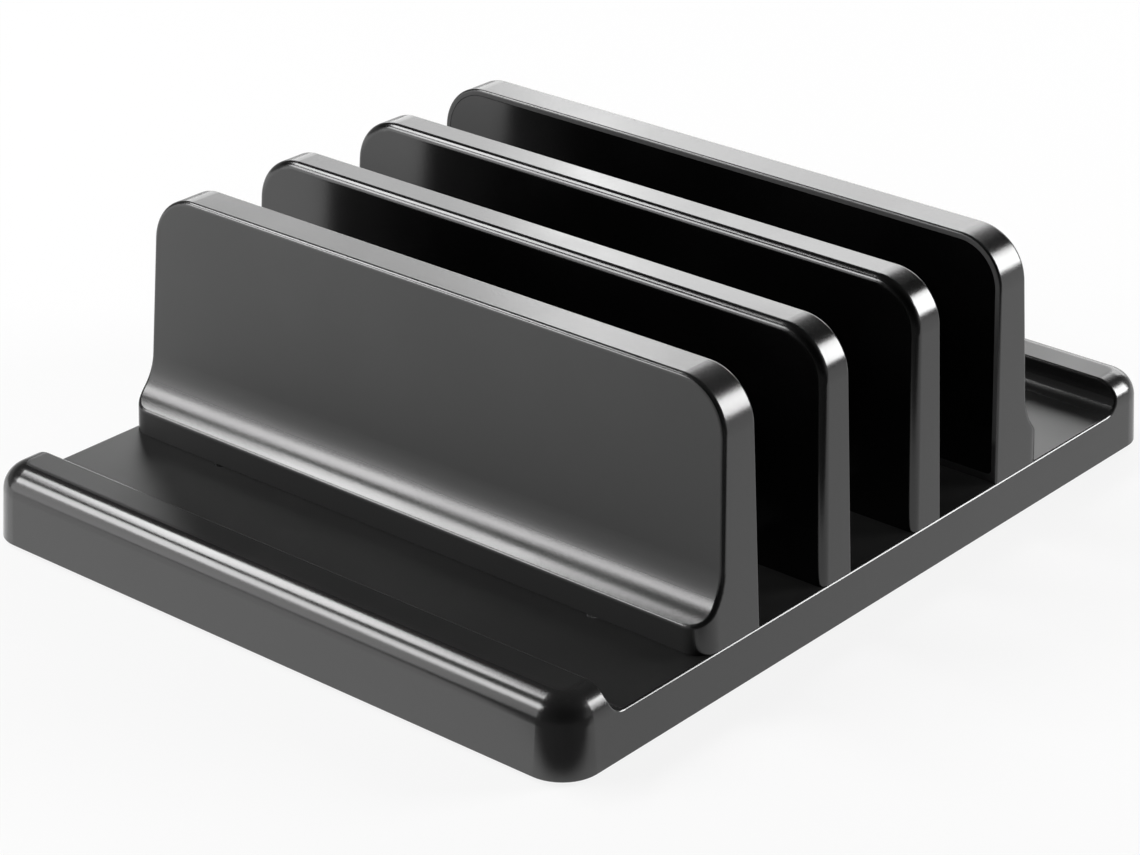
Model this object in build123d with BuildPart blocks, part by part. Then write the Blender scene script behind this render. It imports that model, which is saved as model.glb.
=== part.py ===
"""Upright laptop stand with three slots, in millimetres, +Z up.

X runs along the dividers, Y from the front tray to the rear tray, and the origin is the
middle of the underside. The tray is one moulding; four dividers stand on it and slide along Y
in two slotted tracks once their screws are loosened from below.
"""
from build123d import *
import os

os.makedirs("parts", exist_ok=True)

# Tray
base_length = 188.7        # along X at the lower edge
base_width = 239.2         # along Y at the lower edge
base_corner = 10.0         # plan corner radius
wall_draft = 4.0           # degrees
pad_stand = 0.8            # the pads hold the wall this far off the desk
floor_top = 12.4
floor_thick = 3.0
lip_top = 19.9
lip_wide = 15.6            # a lip, from its upright inner wall to the tray's lower edge
lip_cove = 5.0             # hollow corner between lip and floor
lip_round = 7.0            # outer rounding of a lip
rim_round = 0.8            # small rounding on the floor's two open ends
wall = 2.4

# Slotted tracks in the floor
track_x = 60.8
track_length = 144.0
track_width = 3.5
rail_half = 7.0            # half the distance between the two rails under a track
rail_thick = 2.0
rail_length = 160.0
rail_low = 2.6
rib_high = 2.4

# Dividers
top_z = 75.6
stand_off = 0.05           # running gap under a divider
end_short = 0.95           # at the foot, a divider stops this far short of the tray's ends
end_slope = 0.054          # the two ends lean in by this much for each mm of height
face_slope = 0.0145        # the long faces lean in by this much
corner_round = 13.0        # the two upper corners, seen from the front
outer_top = 10.6           # thickness of an outer divider at the top
outer_waist = 12.8         # thickness where the slab's line and the flare's line cross
waist_z = 23.3
flare_round = 14.0         # the hollow rounding between those two lines
foot_out = 20.4            # thickness through the foot
flare_z = 19.3             # the flare meets the foot's upright face here
foot_corner = 5.8
inner_thick = 11.5         # inner divider at the foot
row_middle = -1.25         # the row of dividers stands a little forward of the middle
outer_inside = 49.5        # inner face of an outer divider from the row's middle, at the top
inner_half_pitch = 18.55
outside_round = 1.2        # edge round the outer face of an outer divider
inner_round = 2.2          # the same on an inner divider
cover_round = 0.7          # edge round the face that has the cover
shell_wall = 2.2
cover_depth = 2.0
seam_inset = 1.6
seam_gap = 0.15
ledge = 2.0

# Fixings
screw_d = 3.0
head_d = 5.6
head_high = 2.2
head_socket = 2.0
washer_d = 9.0
washer_thick = 0.8
insert_d = 4.6
insert_long = 6.0
boss_d = 8.4
screw_reach = 5.6          # thread inside the insert
pad_d = 14.0
pad_thick = 2.0
pad_end = 14.85            # middle of a pad from the tray's end
pad_side = 24.6            # and from the tray's long side

lip_inner = base_width / 2 - lip_wide          # from the middle of the tray
divider_length = base_length - 2 * end_short
pad_x = base_length / 2 - pad_end
pad_rows = (pad_side - base_width / 2, 0.0, base_width / 2 - pad_side)
foot_z = floor_top + stand_off
floor_under = floor_top - floor_thick
lean = (top_z - foot_z) * face_slope


def save(part, name):
    """Labels a finished piece and writes its file."""
    part.label = name
    export_step(part, f"parts/{name}.step")


# The tray: a tapered block with a wide valley left between two lips
with BuildPart() as tray:
    with BuildSketch(Plane.XY.offset(pad_stand)):
        RectangleRounded(base_length, base_width, base_corner)
    extrude(amount=lip_top - pad_stand, taper=wall_draft)
    with BuildSketch(Plane.YZ) as valley:
        with Locations((0, floor_top)):
            Rectangle(2 * lip_inner, 20, align=(Align.CENTER, Align.MIN))
        fillet(valley.vertices().group_by(Axis.Y)[0], lip_cove)
    extrude(amount=base_length, both=True, mode=Mode.SUBTRACT)
    # each lip is rounded on its outside and round its ends, and stays sharp on the inside
    lip_edges = [
        e
        for face in tray.faces().filter_by(Axis.Z).group_by(Axis.Z)[-1]
        for e in face.edges()
        if abs(abs(e.center().Y) - lip_inner) > 0.01
    ]
    fillet(lip_edges, lip_round)
    rim_edges = (
        tray.edges()
        .filter_by(Axis.Y)
        .filter_by_position(Axis.Z, floor_top - 0.01, floor_top + 0.01)
    )
    fillet(rim_edges, rim_round)
    # hollow underside, deeper under the two lips
    with BuildSketch(Plane.XY.offset(pad_stand)):
        RectangleRounded(base_length - 2 * wall, base_width - 2 * wall, base_corner - wall)
    extrude(amount=floor_under - pad_stand, taper=wall_draft, mode=Mode.SUBTRACT)
    with BuildSketch(Plane.YZ.offset(-base_length / 2 + 9)):
        with BuildLine():
            Polyline(
                (lip_inner + wall, floor_under - 0.5),
                (lip_inner + wall, lip_top - wall),
                (lip_inner + wall + 3.0, lip_top - wall),
                (base_width / 2 - wall - 1.2, floor_under + 2.4),
                (base_width / 2 - wall - 1.2, floor_under - 0.5),
                close=True,
            )
        make_face()
        mirror(about=Plane.YZ)
    extrude(amount=base_length - 18, mode=Mode.SUBTRACT)
    # shallow ribs, the rails beside each track, and the seats for the pads
    with BuildSketch(Plane.XY.offset(floor_under)):
        for y in (-72.0, -36.0, 0.0, 36.0, 72.0):
            with Locations((0, y)):
                Rectangle(2 * (track_x - rail_half), 1.6)
        with GridLocations(36.0, 0, 3, 1):
            Rectangle(1.6, 2 * lip_inner)
    extrude(amount=-rib_high)
    with BuildSketch(Plane.XY.offset(floor_under)):
        for x in (-track_x, track_x):
            with Locations((x, 0)):
                RectangleRounded(2 * rail_half + 2 * rail_thick, rail_length + 2 * rail_thick, 6)
                RectangleRounded(2 * rail_half, rail_length, 4, mode=Mode.SUBTRACT)
    extrude(amount=rail_low - floor_under)
    with BuildSketch(Plane.XY.offset(floor_under)):
        with Locations(*[(x, y) for x in (-pad_x, pad_x) for y in pad_rows]):
            Circle(pad_d / 2 + 1.6)
    extrude(amount=pad_stand - floor_under)
    with BuildSketch(Plane.XY.offset(pad_stand)):
        with Locations(*[(x, y) for x in (-pad_x, pad_x) for y in pad_rows]):
            Circle(pad_d / 2 + 0.1)
    extrude(amount=pad_thick - pad_stand, mode=Mode.SUBTRACT)
    # the two through tracks
    with BuildSketch(Plane.XY.offset(floor_top + 1)):
        with Locations((-track_x, 0), (track_x, 0)):
            SlotOverall(track_length, track_width, rotation=90)
    extrude(amount=-floor_thick - 2, mode=Mode.SUBTRACT)
save(tray.part, "base_tray")

# Silicone pads under the tray
for side, x in (("left", -pad_x), ("right", pad_x)):
    for row, y in zip(("front", "middle", "rear"), pad_rows):
        with BuildPart() as pad:
            with Locations((x, y, 0)):
                Cylinder(pad_d / 2, pad_thick, align=(Align.CENTER, Align.CENTER, Align.MIN))
            fillet(pad.edges().group_by(Axis.Z)[0], 0.4)
        save(pad.part, f"desk_pad_{row}_{side}")


def half_length(z):
    """Half the length of a divider at height z."""
    return divider_length / 2 - (z - foot_z) * end_slope


def upright(inset, low, high, front, corner):
    """A block whose ends lean in, from Y = front to past the cover; `corner` rounds it in plan."""
    half_low = half_length(low) - inset
    half_high = half_length(high) - inset
    with BuildPart() as block:
        with BuildSketch(Plane.XZ.offset(-5)):
            with BuildLine():
                Polyline(
                    (-half_low, low), (half_low, low), (half_high, high), (-half_high, high),
                    close=True,
                )
            make_face()
        extrude(amount=5 - front)
        if corner:
            face = block.faces().sort_by(Axis.Y)[0]
            fillet([e for e in face.edges() if abs(e.center().X) > 1], corner)
    return block.part


def end_profile(flared, inset):
    """Sketch of a divider seen from its end, with `inset` taken off its outer face."""
    foot_point = (inset - foot_out, flare_z - inset)
    waist_point = (inset - outer_waist, waist_z - inset)
    with BuildSketch(Plane.YZ.offset(-divider_length / 2 - 1)) as profile:
        with BuildLine():
            if flared:
                Polyline(
                    (0, top_z), (lean, foot_z), (inset - foot_out, foot_z), foot_point,
                    waist_point, (inset - outer_top, top_z), close=True,
                )
            else:
                Polyline(
                    (0, top_z), (lean, foot_z), (inset + lean - inner_thick, foot_z),
                    (inset + 2 * lean - inner_thick, top_z), close=True,
                )
        make_face()
        if flared:
            fillet(profile.vertices().sort_by_distance(waist_point)[0], flare_round)
    return profile.sketch


def face_outline(inset):
    """The seam on the cover's face of a divider: its outline, set in from the edge."""
    low = foot_z + inset + 0.4
    high = top_z - inset
    half_low = half_length(low) - inset
    half_high = half_length(high) - inset
    with BuildSketch(Plane.XZ.offset(cover_depth)) as outline:
        with BuildLine():
            Polyline(
                (-half_low, low), (half_low, low), (half_high, high), (-half_high, high),
                close=True,
            )
        make_face()
        fillet(outline.vertices().group_by(Axis.Y)[-1], corner_round - inset)
        fillet(outline.vertices().group_by(Axis.Y)[0], 1.2)
    return outline.sketch


def divider(flared):
    """One divider with its cover on the +Y side; Y is 0 at the top of the cover's face."""
    depth = foot_out if flared else inner_thick - lean
    screw_y = (lean - depth) / 2

    # the solid shape
    with BuildPart() as whole:
        add(upright(0, foot_z, top_z, -depth, foot_corner if flared else 0))
        extrude(end_profile(flared, 0), amount=divider_length + 2, dir=(1, 0, 0),
                mode=Mode.INTERSECT)
        fillet(whole.edges().filter_by(Axis.Y).group_by(Axis.Z)[-1], corner_round)
        outer = [f for f in whole.faces() if f.normal_at().Y < -0.8 and f.center().Z > flare_z]
        seen = [e for f in outer for e in f.edges()]
        centres = [tuple(round(v, 3) for v in e.center()) for e in seen]
        rounded = [e for e, c in zip(seen, centres) if centres.count(c) == 1 and c[2] > foot_z + 0.1]
        fillet(rounded, outside_round if flared else inner_round)
        inside = whole.faces().sort_by(Axis.Y)[-1]
        fillet([e for e in inside.edges() if e.center().Z > foot_z + 0.1], cover_round)

    # the hollow behind the cover, in four cells
    set_in = shell_wall + ledge
    with BuildPart() as hollow:
        add(upright(set_in, foot_z + 3, top_z - set_in, shell_wall - depth,
                    foot_corner - shell_wall if flared else 0))
        extrude(end_profile(flared, shell_wall), amount=divider_length + 2, dir=(1, 0, 0),
                mode=Mode.INTERSECT)
        fillet(hollow.edges().filter_by(Axis.Y).group_by(Axis.Z)[-1], corner_round - set_in)
        with GridLocations(40, 0, 3, 1):
            Box(1.6, 60, 200, mode=Mode.SUBTRACT)

    with BuildPart() as shell:
        add(whole.part)
        add(hollow.part, mode=Mode.SUBTRACT)
        with Locations((-track_x, screw_y, foot_z + 1), (track_x, screw_y, foot_z + 1)):
            Cylinder(boss_d / 2, 9, align=(Align.CENTER, Align.CENTER, Align.MIN))
        extrude(face_outline(seam_inset), amount=20, dir=(0, 1, 0), mode=Mode.SUBTRACT)
        with Locations((-track_x, screw_y, foot_z), (track_x, screw_y, foot_z)):
            Cylinder(insert_d / 2, insert_long + 1.5, mode=Mode.SUBTRACT,
                     align=(Align.CENTER, Align.CENTER, Align.MIN))

    with BuildPart() as cover:
        extrude(face_outline(seam_inset + seam_gap), amount=20, dir=(0, 1, 0))
        add(whole.part, mode=Mode.INTERSECT)

    washer_low = floor_under - stand_off - washer_thick
    places = [(-track_x, screw_y), (track_x, screw_y)]
    with BuildPart() as inserts:
        with BuildSketch(Plane.XY.offset(foot_z + 0.5)):
            with Locations(*places):
                Circle(insert_d / 2)
                Circle(screw_d / 2, mode=Mode.SUBTRACT)
        extrude(amount=insert_long)
    with BuildPart() as screws:
        with BuildSketch(Plane.XY.offset(washer_low)):
            with Locations(*places):
                Circle(head_d / 2)
        extrude(amount=-head_high)
        fillet(screws.edges().group_by(Axis.Z)[0], 0.7)
        with BuildSketch(Plane.XY.offset(washer_low)):
            with Locations(*places):
                Circle(screw_d / 2)
        extrude(amount=foot_z + 0.5 + screw_reach - washer_low)
        chamfer(screws.edges().group_by(Axis.Z)[-1], 0.4)
        with BuildSketch(Plane.XY.offset(washer_low - head_high)):
            with Locations(*places):
                RegularPolygon(head_socket / 2, 6, major_radius=False)
        extrude(amount=1.3, mode=Mode.SUBTRACT)
    with BuildPart() as washers:
        with BuildSketch(Plane.XY.offset(washer_low)):
            with Locations(*places):
                Circle(washer_d / 2)
                Circle(screw_d / 2 + 0.1, mode=Mode.SUBTRACT)
        extrude(amount=washer_thick)
    return {"shell": shell.part, "cover": cover.part, "inserts": inserts.part,
            "screws": screws.part, "washers": washers.part}


# The four dividers: the outer two mirror each other, the inner two are alike
outer_set = divider(True)
inner_set = divider(False)
inner_face = (inner_thick - 2 * lean) / 2
row = (
    ("front", outer_set, row_middle - outer_inside, False),
    ("second", inner_set, row_middle - inner_half_pitch + inner_face, False),
    ("third", inner_set, row_middle + inner_half_pitch + inner_face, False),
    ("rear", outer_set, row_middle + outer_inside, True),
)
for name, pieces, y, turned in row:
    for piece, shape in pieces.items():
        placed = mirror(shape, about=Plane.XZ) if turned else shape
        save(Pos(0, y, 0) * placed, f"divider_{name}_{piece}")
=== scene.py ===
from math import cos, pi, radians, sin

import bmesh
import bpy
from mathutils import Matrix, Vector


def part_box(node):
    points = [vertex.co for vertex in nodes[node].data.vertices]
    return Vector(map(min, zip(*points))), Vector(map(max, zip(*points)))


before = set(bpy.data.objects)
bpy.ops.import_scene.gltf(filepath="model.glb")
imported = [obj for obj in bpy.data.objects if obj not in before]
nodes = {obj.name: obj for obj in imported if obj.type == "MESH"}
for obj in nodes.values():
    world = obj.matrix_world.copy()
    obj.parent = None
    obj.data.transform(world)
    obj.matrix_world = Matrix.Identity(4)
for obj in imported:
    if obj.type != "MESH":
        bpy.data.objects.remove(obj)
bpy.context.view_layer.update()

# %% [markdown]
# # An upright laptop stand in black moulded plastic
# The frame that was just loaded is the finished CAD model: a tray, four dividers with their
# covers, screws, washers and inserts, and six pads. Nothing is moved here. This file gives each
# piece the finish of the real one and sets up a small photo studio round it.
# Everything is in metres, +Z is up, and the front tray is towards -Y.

foot_height = 0.022     # the feet of the outer dividers end here
camera_azimuth = radians(39.84)     # from -Y towards +X
top_of_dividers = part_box("divider_front_shell")[1][2]
print(f"{len(nodes)} nodes, dividers reach {top_of_dividers * 1000:.1f} mm above the desk")

# %% [markdown]
# ## Patterns that several finishes share
# Moulded plastic is never one even tone. The mould's skin leaves a fine grain, the plastic is a
# little glossier where it flowed last, and a stand that has been handled carries some dust.
# Each of these is a node group: a box with named inputs and outputs that is built once and
# placed in every material that needs it. A group gives out only values, never a shader, so that
# each material keeps its own Principled BSDF and the pattern can still be baked.


# %% A helper that opens a node group
def open_group(name, inputs, outputs):
    """A shader node group; inputs maps a name to its default value, outputs lists names."""
    group = bpy.data.node_groups.new(name, "ShaderNodeTree")
    for socket_name, value in inputs.items():
        kind = "NodeSocketVector" if value is None else "NodeSocketFloat"
        socket = group.interface.new_socket(socket_name, in_out="INPUT", socket_type=kind)
        if value is not None:
            socket.default_value = value
    for socket_name in outputs:
        group.interface.new_socket(socket_name, in_out="OUTPUT", socket_type="NodeSocketFloat")
    return group, group.nodes.new("NodeGroupInput"), group.nodes.new("NodeGroupOutput")


def maths(tree, operation, a, b=None, clamp=False):
    """A Math node whose inputs are numbers or sockets; gives back its output."""
    node = tree.nodes.new("ShaderNodeMath")
    node.operation = operation
    node.use_clamp = clamp
    for slot, value in zip(node.inputs, (a, b)):
        if value is None:
            continue
        if isinstance(value, (int, float)):
            slot.default_value = value
        else:
            tree.links.new(value, slot)
    return node.outputs[0]


def noise(tree, vector, scale, detail=2.0, rough=0.5):
    """A Noise Texture read at vector; gives back its 0 to 1 value."""
    node = tree.nodes.new("ShaderNodeTexNoise")
    node.inputs["Scale"].default_value = scale
    node.inputs["Detail"].default_value = detail
    node.inputs["Roughness"].default_value = rough
    tree.links.new(vector, node.inputs["Vector"])
    return node.outputs["Fac"]


def ranged(tree, value, from_low, from_high, to_low=0.0, to_high=1.0):
    """A Map Range node, smooth and clamped; gives back its output."""
    node = tree.nodes.new("ShaderNodeMapRange")
    node.interpolation_type = "SMOOTHSTEP"
    tree.links.new(value, node.inputs["Value"])
    for name, number in (("From Min", from_low), ("From Max", from_high),
                         ("To Min", to_low), ("To Max", to_high)):
        node.inputs[name].default_value = number
    return node.outputs["Result"]


print("helpers for groups are ready")

# %% [markdown]
# ### Moulded grain
# A spark-eroded mould leaves a skin of tiny round pits, well under a millimetre across. Two
# noises of different size, one for the pits and one for slow changes in their depth, come close.
# The group gives a height for a Bump node and a slow tone that materials mix into their gloss.

# %% Grain group
grain, grain_in, grain_out = open_group(
    "moulded_grain", {"Place": None, "Pits per metre": 1500.0}, ["Height", "Slow tone"]
)
pits = grain.nodes.new("ShaderNodeTexNoise")
pits.inputs["Detail"].default_value = 2.0
pits.inputs["Roughness"].default_value = 0.6
grain.links.new(grain_in.outputs["Place"], pits.inputs["Vector"])
grain.links.new(grain_in.outputs["Pits per metre"], pits.inputs["Scale"])
slow_changes = 22.0     # per metre
slow = noise(grain, grain_in.outputs["Place"], slow_changes, 3.0, 0.55)
grain.links.new(pits.outputs["Fac"], grain_out.inputs["Height"])
grain.links.new(ranged(grain, slow, 0.3, 0.7), grain_out.inputs["Slow tone"])
print("moulded_grain:", [s.name for s in grain.interface.items_tree])

# %% [markdown]
# ### Dust
# Dust settles on what faces up, thinly and in specks. The group reads how far the surface faces
# up from its Normal and lets only the peaks of a fine noise through.

# %% Dust group
dust, dust_in, dust_out = open_group("settled_dust", {"Place": None, "Amount": 0.3}, ["Mask"])
facing = dust.nodes.new("ShaderNodeNewGeometry")
split = dust.nodes.new("ShaderNodeSeparateXYZ")
dust.links.new(facing.outputs["Normal"], split.inputs["Vector"])
too_steep = 0.55        # dust slides off where the Normal's Z is below this
specks_per_metre, film_per_metre, film_amount = 2600.0, 60.0, 0.35
upward = ranged(dust, split.outputs["Z"], too_steep, 1.0)
specks = ranged(dust, noise(dust, dust_in.outputs["Place"], specks_per_metre, 1.0), 0.66, 0.76)
film = ranged(
    dust, noise(dust, dust_in.outputs["Place"], film_per_metre, 4.0, 0.6),
    0.35, 0.75, 0.0, film_amount,
)
settled = maths(dust, "MULTIPLY", upward, maths(dust, "MAXIMUM", specks, film))
dust.links.new(
    maths(dust, "MULTIPLY", settled, dust_in.outputs["Amount"], True), dust_out.inputs["Mask"]
)
print("settled_dust:", [s.name for s in dust.interface.items_tree])

# %% [markdown]
# ### Broad faces
# A mould maker textures the broad flat faces and polishes the edges, lips and hollow curves.
# The group finds the flat faces from the surface's Normal: "Upright" is 1 on faces that look
# straight along Y, and "Level" is 1 on faces that look straight up or down. The third output is
# the part of "Upright" above the feet of the outer dividers. Besides placing the texture's extra
# roughness, these masks place painted light: a pale painted sheen on the outer dividers' slabs,
# for the white table they mirror, and a darker painted shade on the tray's level faces.

# %% Broad faces group
broad, broad_in, broad_out = open_group(
    "broad_faces", {"Place": None}, ["Upright", "Level", "Slab sheen"]
)
facing = broad.nodes.new("ShaderNodeNewGeometry")
split = broad.nodes.new("ShaderNodeSeparateXYZ")
broad.links.new(facing.outputs["Normal"], split.inputs["Vector"])
point = broad.nodes.new("ShaderNodeSeparateXYZ")
broad.links.new(broad_in.outputs["Place"], point.inputs["Vector"])
flat = 0.998            # the Normal's share along the axis on a face that counts as flat
fade_y, fade_z = 0.82, 0.985        # where the texture has faded out on curves
fade_height = 0.003
along_y = ranged(broad, maths(broad, "ABSOLUTE", split.outputs["Y"]), fade_y, flat)
along_z = ranged(broad, maths(broad, "ABSOLUTE", split.outputs["Z"]), fade_z, flat)
above_foot = ranged(broad, point.outputs["Z"], foot_height, foot_height + fade_height)
broad.links.new(along_y, broad_out.inputs["Upright"])
broad.links.new(maths(broad, "MULTIPLY", along_y, above_foot), broad_out.inputs["Slab sheen"])
broad.links.new(along_z, broad_out.inputs["Level"])
print("broad_faces:", [s.name for s in broad.interface.items_tree])

# %% [markdown]
# ## The finishes
# Every material starts the same way: a Principled BSDF, Object coordinates in metres, and the
# grain and dust groups. The plastics with textured faces add the third group, which also places
# their painted sheen and painted shade. A small function builds that start and hands back the
# material and its shader, and each finish then sets its own numbers. What is the same all over a
# surface, such as metal or not, is set on the shader's own socket.


# %% A helper that starts a finish
def linear(hex_colour):
    """A colour written as it looks on screen, such as 1a1a1a, as the renderer's numbers."""
    parts = [int(hex_colour[i:i + 2], 16) / 255 for i in (0, 2, 4)]
    return [p / 12.92 if p <= 0.04045 else ((p + 0.055) / 1.055) ** 2.4 for p in parts] + [1.0]


def mix_colour(tree, factor, a, b):
    """A Mix node for colours; a and b are colours or sockets."""
    node = tree.nodes.new("ShaderNodeMix")
    node.data_type = "RGBA"
    tree.links.new(factor, node.inputs["Factor"])
    for slot, value in ((node.inputs[6], a), (node.inputs[7], b)):
        if isinstance(value, list):
            slot.default_value = value
        else:
            tree.links.new(value, slot)
    return node.outputs[2]


dust_colour, dust_rough = "8f8d88", 0.3


def start_finish(name, colour, lighter, dusty, gloss, bump, bump_mm, pits_per_metre=1500.0,
                 textured_and_painted=None, extra_rough=0.0, painted_light_colour=None):
    """A Principled material in two close tones with grain and dust.

    gloss is the roughness where the slow tone is low and where it is high. The pair of face
    masks names the broad faces that get extra_rough on top and those that take a flat painted
    light colour in place of the tone: the satin finish uses it for a pale painted sheen and the
    tray for a dark painted shade.
    """
    material = bpy.data.materials.new(name)
    material.use_nodes = True
    tree = material.node_tree
    shader = tree.nodes["Principled BSDF"]
    place = tree.nodes.new("ShaderNodeTexCoord").outputs["Object"]

    skin = tree.nodes.new("ShaderNodeGroup")
    skin.node_tree = grain
    skin.inputs["Pits per metre"].default_value = pits_per_metre
    tree.links.new(place, skin.inputs["Place"])
    fallen = tree.nodes.new("ShaderNodeGroup")
    fallen.node_tree = dust
    fallen.inputs["Amount"].default_value = dusty
    tree.links.new(place, fallen.inputs["Place"])

    tone = mix_colour(tree, skin.outputs["Slow tone"], linear(colour), linear(lighter))
    # Painted light: the faces of the second mask take a flat colour in place of the grain's
    # tone, a pale painted sheen on the outer dividers and a dark painted shade on the tray.
    if textured_and_painted:
        flats = tree.nodes.new("ShaderNodeGroup")
        flats.node_tree = broad
        tree.links.new(place, flats.inputs["Place"])
        tone = mix_colour(tree, flats.outputs[textured_and_painted[1]], tone, linear(painted_light_colour))
    dusted = mix_colour(tree, fallen.outputs["Mask"], tone, linear(dust_colour))
    tree.links.new(dusted, shader.inputs["Base Color"])
    rough = ranged(tree, skin.outputs["Slow tone"], 0.0, 1.0, *gloss)
    if textured_and_painted:
        rough = maths(tree, "ADD", rough,
                      maths(tree, "MULTIPLY", flats.outputs[textured_and_painted[0]], extra_rough))
    duller = maths(tree, "MULTIPLY", fallen.outputs["Mask"], dust_rough)
    tree.links.new(maths(tree, "ADD", rough, duller, True), shader.inputs["Roughness"])
    relief = tree.nodes.new("ShaderNodeBump")
    relief.inputs["Strength"].default_value = bump
    relief.inputs["Distance"].default_value = bump_mm / 1000
    tree.links.new(skin.outputs["Height"], relief.inputs["Height"])
    tree.links.new(relief.outputs["Normal"], shader.inputs["Normal"])
    return material, shader


print("start_finish is ready")

# %% [markdown]
# ### Black moulded plastic
# The stand is black ABS with a satin skin. Black plastic shows mostly what it mirrors: the top
# edges mirror the light behind and look almost white, and the slots mirror the dark ceiling and
# stay black. The broad slabs of the outer dividers are textured, so they are rougher. They are
# also painted a paler grey, a painted sheen for the white table they mirror, so they look an
# even grey. The inner dividers and the covers, which sit in the slots, are painted a deeper
# black as painted shade, and the tray's floor is rougher and painted darker as painted shade.

# %% The plastic finishes
polish = 0.65           # a little more mirroring than plain plastic has
# The paler 454545 on the outer dividers' slabs is a painted sheen for the white table these
# faces mirror; only their extra roughness is the real texture.
satin_black, satin_shader = start_finish(
    "black_abs_satin", "161616", "1a1a1a", 0.02, (0.20, 0.24), 0.65, 0.02,
    textured_and_painted=("Upright", "Slab sheen"), extra_rough=0.45, painted_light_colour="454545",
)
# Painted shade: the inner dividers and the covers sit in the slots, where little light reaches,
# so this black is painted darker than the plastic itself.
slot_shade_black, slot_shade_shader = start_finish(
    "black_abs_painted_slot_shade", "060606", "090909", 0.02, (0.16, 0.22), 0.40, 0.02,
)
# Painted shade: the tray's level faces, above all its floor, are painted a darker 0a0a0a for the
# shadow of the lip and the dividers; only their extra roughness is the real texture.
tray_black, tray_shader = start_finish(
    "black_abs_tray", "1e1e1e", "222222", 0.03, (0.16, 0.20), 0.40, 0.02,
    textured_and_painted=("Level", "Level"), extra_rough=0.24, painted_light_colour="0a0a0a",
)
for shader in (satin_shader, slot_shade_shader, tray_shader):
    shader.inputs["Specular IOR Level"].default_value = polish
print("plastic:", satin_black.name, slot_shade_black.name, tray_black.name)

# %% [markdown]
# ### Silicone, brass and plated steel
# The pads are matt black silicone. The screws and washers are zinc-plated steel, slightly dull
# and streaked, and the inserts are turned brass. They are only seen from below, but each is a
# real finish of its own.

# %% The small parts' finishes
silicone, _ = start_finish(
    "black_silicone", "171717", "1f1f1f", 0.05, (0.62, 0.75), 0.5, 0.03, 900.0
)
plated, plated_shader = start_finish(
    "zinc_plated_steel", "b9bcc0", "c9ccd0", 0.03, (0.28, 0.42), 0.12, 0.01, 2400.0
)
pressed, pressed_shader = start_finish(
    "pressed_zinc_steel", "c1c3c6", "cfd1d3", 0.03, (0.34, 0.48), 0.18, 0.01, 1800.0
)
brass, brass_shader = start_finish(
    "turned_brass", "c69a52", "d8b06a", 0.02, (0.25, 0.38), 0.12, 0.01, 2400.0
)
for shader in (plated_shader, pressed_shader, brass_shader):
    shader.inputs["Metallic"].default_value = 1.0
print("small parts:", silicone.name, plated.name, pressed.name, brass.name)

# %% [markdown]
# ## Giving the pieces their finishes
# A CAD node keeps its mesh; only its material slot changes. The names say what each piece is, so
# a short table from the end of the name to the finish is enough.

# %% Dress the nodes
finish_of = {
    "base_tray": tray_black,
    # The inner dividers' shells and all covers take the black with the painted slot shade.
    "divider_second_shell": slot_shade_black,
    "divider_third_shell": slot_shade_black,
    "shell": satin_black,
    "cover": slot_shade_black,
    "inserts": brass,
    "screws": plated,
    "washers": pressed,
    "desk_pad": silicone,
}
for name, node in nodes.items():
    finish = next(f for key, f in finish_of.items() if key in name)
    node.data.materials.clear()
    node.data.materials.append(finish)
print({key: sum(key in n for n in nodes) for key in finish_of})

# %% [markdown]
# ## The studio
# The stand is photographed on a white table in soft light. Black satin plastic is lit by what it
# mirrors, so the lamps are placed by the angles of the faces: soft ones low behind on the left
# for the top edges, two narrow strips in front and on the left for the roundings and the hollow
# flares, a weak one low in front for the soft start of each flare, and one behind on the right
# for the ends. Nothing hangs overhead and the camera's side of the room is dark, so the slots
# between the dividers stay black.

# %% Table
def towards_camera(tree, vector):
    """How far a place, or a direction, lies towards the camera in plan."""
    node = tree.nodes.new("ShaderNodeVectorMath")
    node.operation = "DOT_PRODUCT"
    tree.links.new(vector, node.inputs[0])
    node.inputs[1].default_value = (sin(camera_azimuth), -cos(camera_azimuth), 0.0)
    return node.outputs["Value"]


half_table, under_pads = 1.6, 0.0002
table_mesh = bpy.data.meshes.new("table_top")
plate = bmesh.new()
bmesh.ops.create_grid(plate, x_segments=1, y_segments=1, size=half_table)
plate.to_mesh(table_mesh)
plate.free()
table = bpy.data.objects.new("table_top", table_mesh)
table.location.z = -under_pads
bpy.context.collection.objects.link(table)
print("table", 2 * half_table, "m square")

# %% [markdown]
# ### What the table is painted with
# The table is white paint that takes the stand's shadow. What the camera sees of it is mostly
# plain white, so the shadow stays but is soft. The plastic mirrors a white sheet instead, which
# is brightest in front of the stand and ends towards the camera. From below the table is clear.

# %% Table paint
table_paint = bpy.data.materials.new("white_table")
table_paint.use_nodes = True
table_shader = table_paint.node_tree.nodes["Principled BSDF"]
table_shader.inputs["Base Color"].default_value = (0.86, 0.86, 0.86, 1.0)
table_shader.inputs["Roughness"].default_value = 0.75
table_tree = table_paint.node_tree
sheet = table_tree.nodes.new("ShaderNodeEmission")
rays = table_tree.nodes.new("ShaderNodeLightPath")
mirrored = maths(table_tree, "MAXIMUM", rays.outputs["Is Glossy Ray"],
                 rays.outputs["Is Transmission Ray"])
plain_white = 0.85      # share of plain white in what the camera sees
seen = maths(table_tree, "MULTIPLY", rays.outputs["Is Camera Ray"], plain_white)
whiter = table_tree.nodes.new("ShaderNodeMixShader")
table_tree.links.new(maths(table_tree, "MAXIMUM", seen, mirrored), whiter.inputs["Fac"])
spot = table_tree.nodes.new("ShaderNodeTexCoord").outputs["Object"]
spot_parts = table_tree.nodes.new("ShaderNodeSeparateXYZ")
table_tree.links.new(spot, spot_parts.inputs["Vector"])
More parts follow.
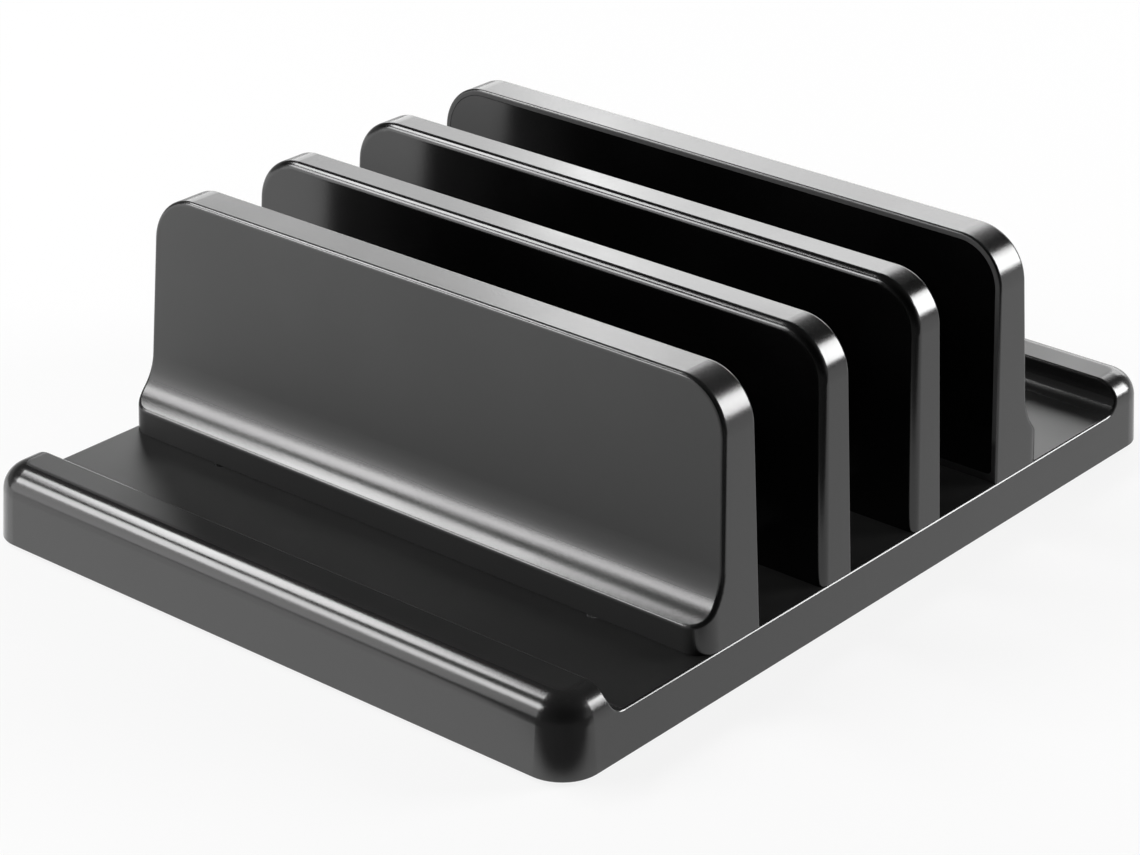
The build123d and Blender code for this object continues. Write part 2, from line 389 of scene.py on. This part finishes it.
front_light, back_light, past_end = 1.45, 0.9, 0.08
front_starts, front_ends = -0.125, -0.10        # Y, just in front of the tray
sheet_fades, sheet_ends = 0.148, 0.16           # distance towards the camera
lit_front = ranged(
    table_tree, spot_parts.outputs["Y"], front_starts, front_ends, front_light, back_light
)
within = ranged(
    table_tree, towards_camera(table_tree, spot), sheet_fades, sheet_ends, 1.0, past_end
)
sheet_light = maths(table_tree, "MULTIPLY", lit_front, within)
mirrored_light = maths(table_tree, "MULTIPLY", sheet_light, mirrored)
table_tree.links.new(
    maths(table_tree, "MAXIMUM", mirrored_light, rays.outputs["Is Camera Ray"]),
    sheet.inputs["Strength"],
)
table_tree.links.new(table_shader.outputs["BSDF"], whiter.inputs[1])
table_tree.links.new(sheet.outputs["Emission"], whiter.inputs[2])
side = table_tree.nodes.new("ShaderNodeNewGeometry").outputs["Backfacing"]
clear = table_tree.nodes.new("ShaderNodeBsdfTransparent")
one_sided = table_tree.nodes.new("ShaderNodeMixShader")
table_tree.links.new(side, one_sided.inputs["Fac"])
table_tree.links.new(whiter.outputs["Shader"], one_sided.inputs[1])
table_tree.links.new(clear.outputs["BSDF"], one_sided.inputs[2])
table_tree.links.new(
    one_sided.outputs["Shader"], table_tree.nodes["Material Output"].inputs["Surface"]
)
table_mesh.materials.append(table_paint)
print("painted with", table_paint.name)

# %% World: pale walls, a dark ceiling, and dark behind the camera
world = bpy.data.worlds.new("studio")
bpy.context.scene.world = world
world.use_nodes = True
sky = world.node_tree
background = sky.nodes["Background"]
background.inputs["Color"].default_value = (1.0, 1.0, 1.0, 1.0)
looking = sky.nodes.new("ShaderNodeTexCoord").outputs["Generated"]
direction = sky.nodes.new("ShaderNodeSeparateXYZ")
sky.links.new(looking, direction.inputs["Vector"])
wall_top, ceiling_start = 0.16, 0.42       # sines of 9 and 25 degrees above the table
wall_light, ceiling_light, unlit_share = 0.35, 0.04, 0.1
unlit_starts, unlit_full = 0.2, 0.6         # share of a direction that is towards the camera
walls = ranged(
    sky, direction.outputs["Z"], wall_top, ceiling_start, wall_light, ceiling_light
)
unlit_side = ranged(
    sky, towards_camera(sky, looking), unlit_starts, unlit_full, 1.0, unlit_share
)
straight_look = sky.nodes.new("ShaderNodeLightPath").outputs["Is Camera Ray"]
sky.links.new(
    maths(sky, "MAXIMUM", maths(sky, "MULTIPLY", walls, unlit_side), straight_look),
    background.inputs["Strength"],
)
print("world set")


# %% Lamps
def soft_light(name, azimuth, height, distance, wide, tall, radiance):
    """An area lamp that looks at the stand from azimuth and height in degrees.

    Azimuth is measured from +X towards +Y. Distance, wide and tall are in metres.
    """
    lamp = bpy.data.lights.new(name, "AREA")
    lamp.shape = "RECTANGLE"
    lamp.size = wide
    lamp.size_y = tall
    lamp.energy = radiance * pi * wide * tall
    obj = bpy.data.objects.new(name, lamp)
    bpy.context.collection.objects.link(obj)
    a, h = radians(azimuth), radians(height)
    towards = Vector((cos(a) * cos(h), sin(a) * cos(h), sin(h)))
    obj.location = towards * distance
    obj.rotation_euler = towards.to_track_quat("Z", "Y").to_euler()
    return obj


lamp_table = (          # name, azimuth, height, distance, wide, tall, radiance
    ("light_behind_high", 111.0, 28.5, 2.0, 1.30, 0.44, 4.2),
    ("light_behind_low", 111.0, 13.0, 2.0, 1.30, 0.63, 2.6),
    ("light_left_edge", 138.0, 17.0, 2.0, 0.60, 0.80, 2.6),
    ("light_front_strip", 227.0, 33.0, 1.2, 0.6, 0.28, 11.0),
    ("light_front_low", 229.0, 13.5, 1.2, 0.6, 0.53, 2.1),
    ("light_left_strip", 193.0, 51.0, 1.2, 0.5, 0.28, 13.0),
    ("light_behind_right", 50.0, 21.0, 1.4, 0.5, 0.62, 16.0),
)
for row in lamp_table:
    soft_light(*row)

# %% [markdown]
# ## The camera
# The photograph was taken from the right of the front, about 40 degrees round and 25 degrees
# up, with a long lens from under a metre away. The place and turn were worked out from the
# straight edges of the stand, whose real sizes are known from the CAD model.

# %% Camera
camera_place = Vector((0.50063, -0.60658, 0.38886))
camera_height, camera_roll = radians(25.36), radians(0.41)
back = Vector((
    sin(camera_azimuth) * cos(camera_height),
    -cos(camera_azimuth) * cos(camera_height),
    sin(camera_height),
))
right = Vector((0, 0, 1)).cross(back).normalized()
up = back.cross(right)
rolled_right = cos(camera_roll) * right + sin(camera_roll) * up
rolled_up = cos(camera_roll) * up - sin(camera_roll) * right
sensor_mm, lens_mm, nearest = 36.0, 107.84, 0.05
lens = bpy.data.cameras.new("photo_camera")
lens.sensor_width = sensor_mm
lens.lens = lens_mm
lens.clip_start = nearest
camera = bpy.data.objects.new("photo_camera", lens)
bpy.context.collection.objects.link(camera)
turn = Matrix((rolled_right, rolled_up, back)).transposed()
camera.matrix_world = Matrix.Translation(camera_place) @ turn.to_4x4()
bpy.context.scene.camera = camera
bpy.context.scene.view_settings.view_transform = "Standard"
print("camera", round(camera_place.length, 3), "m from the origin")
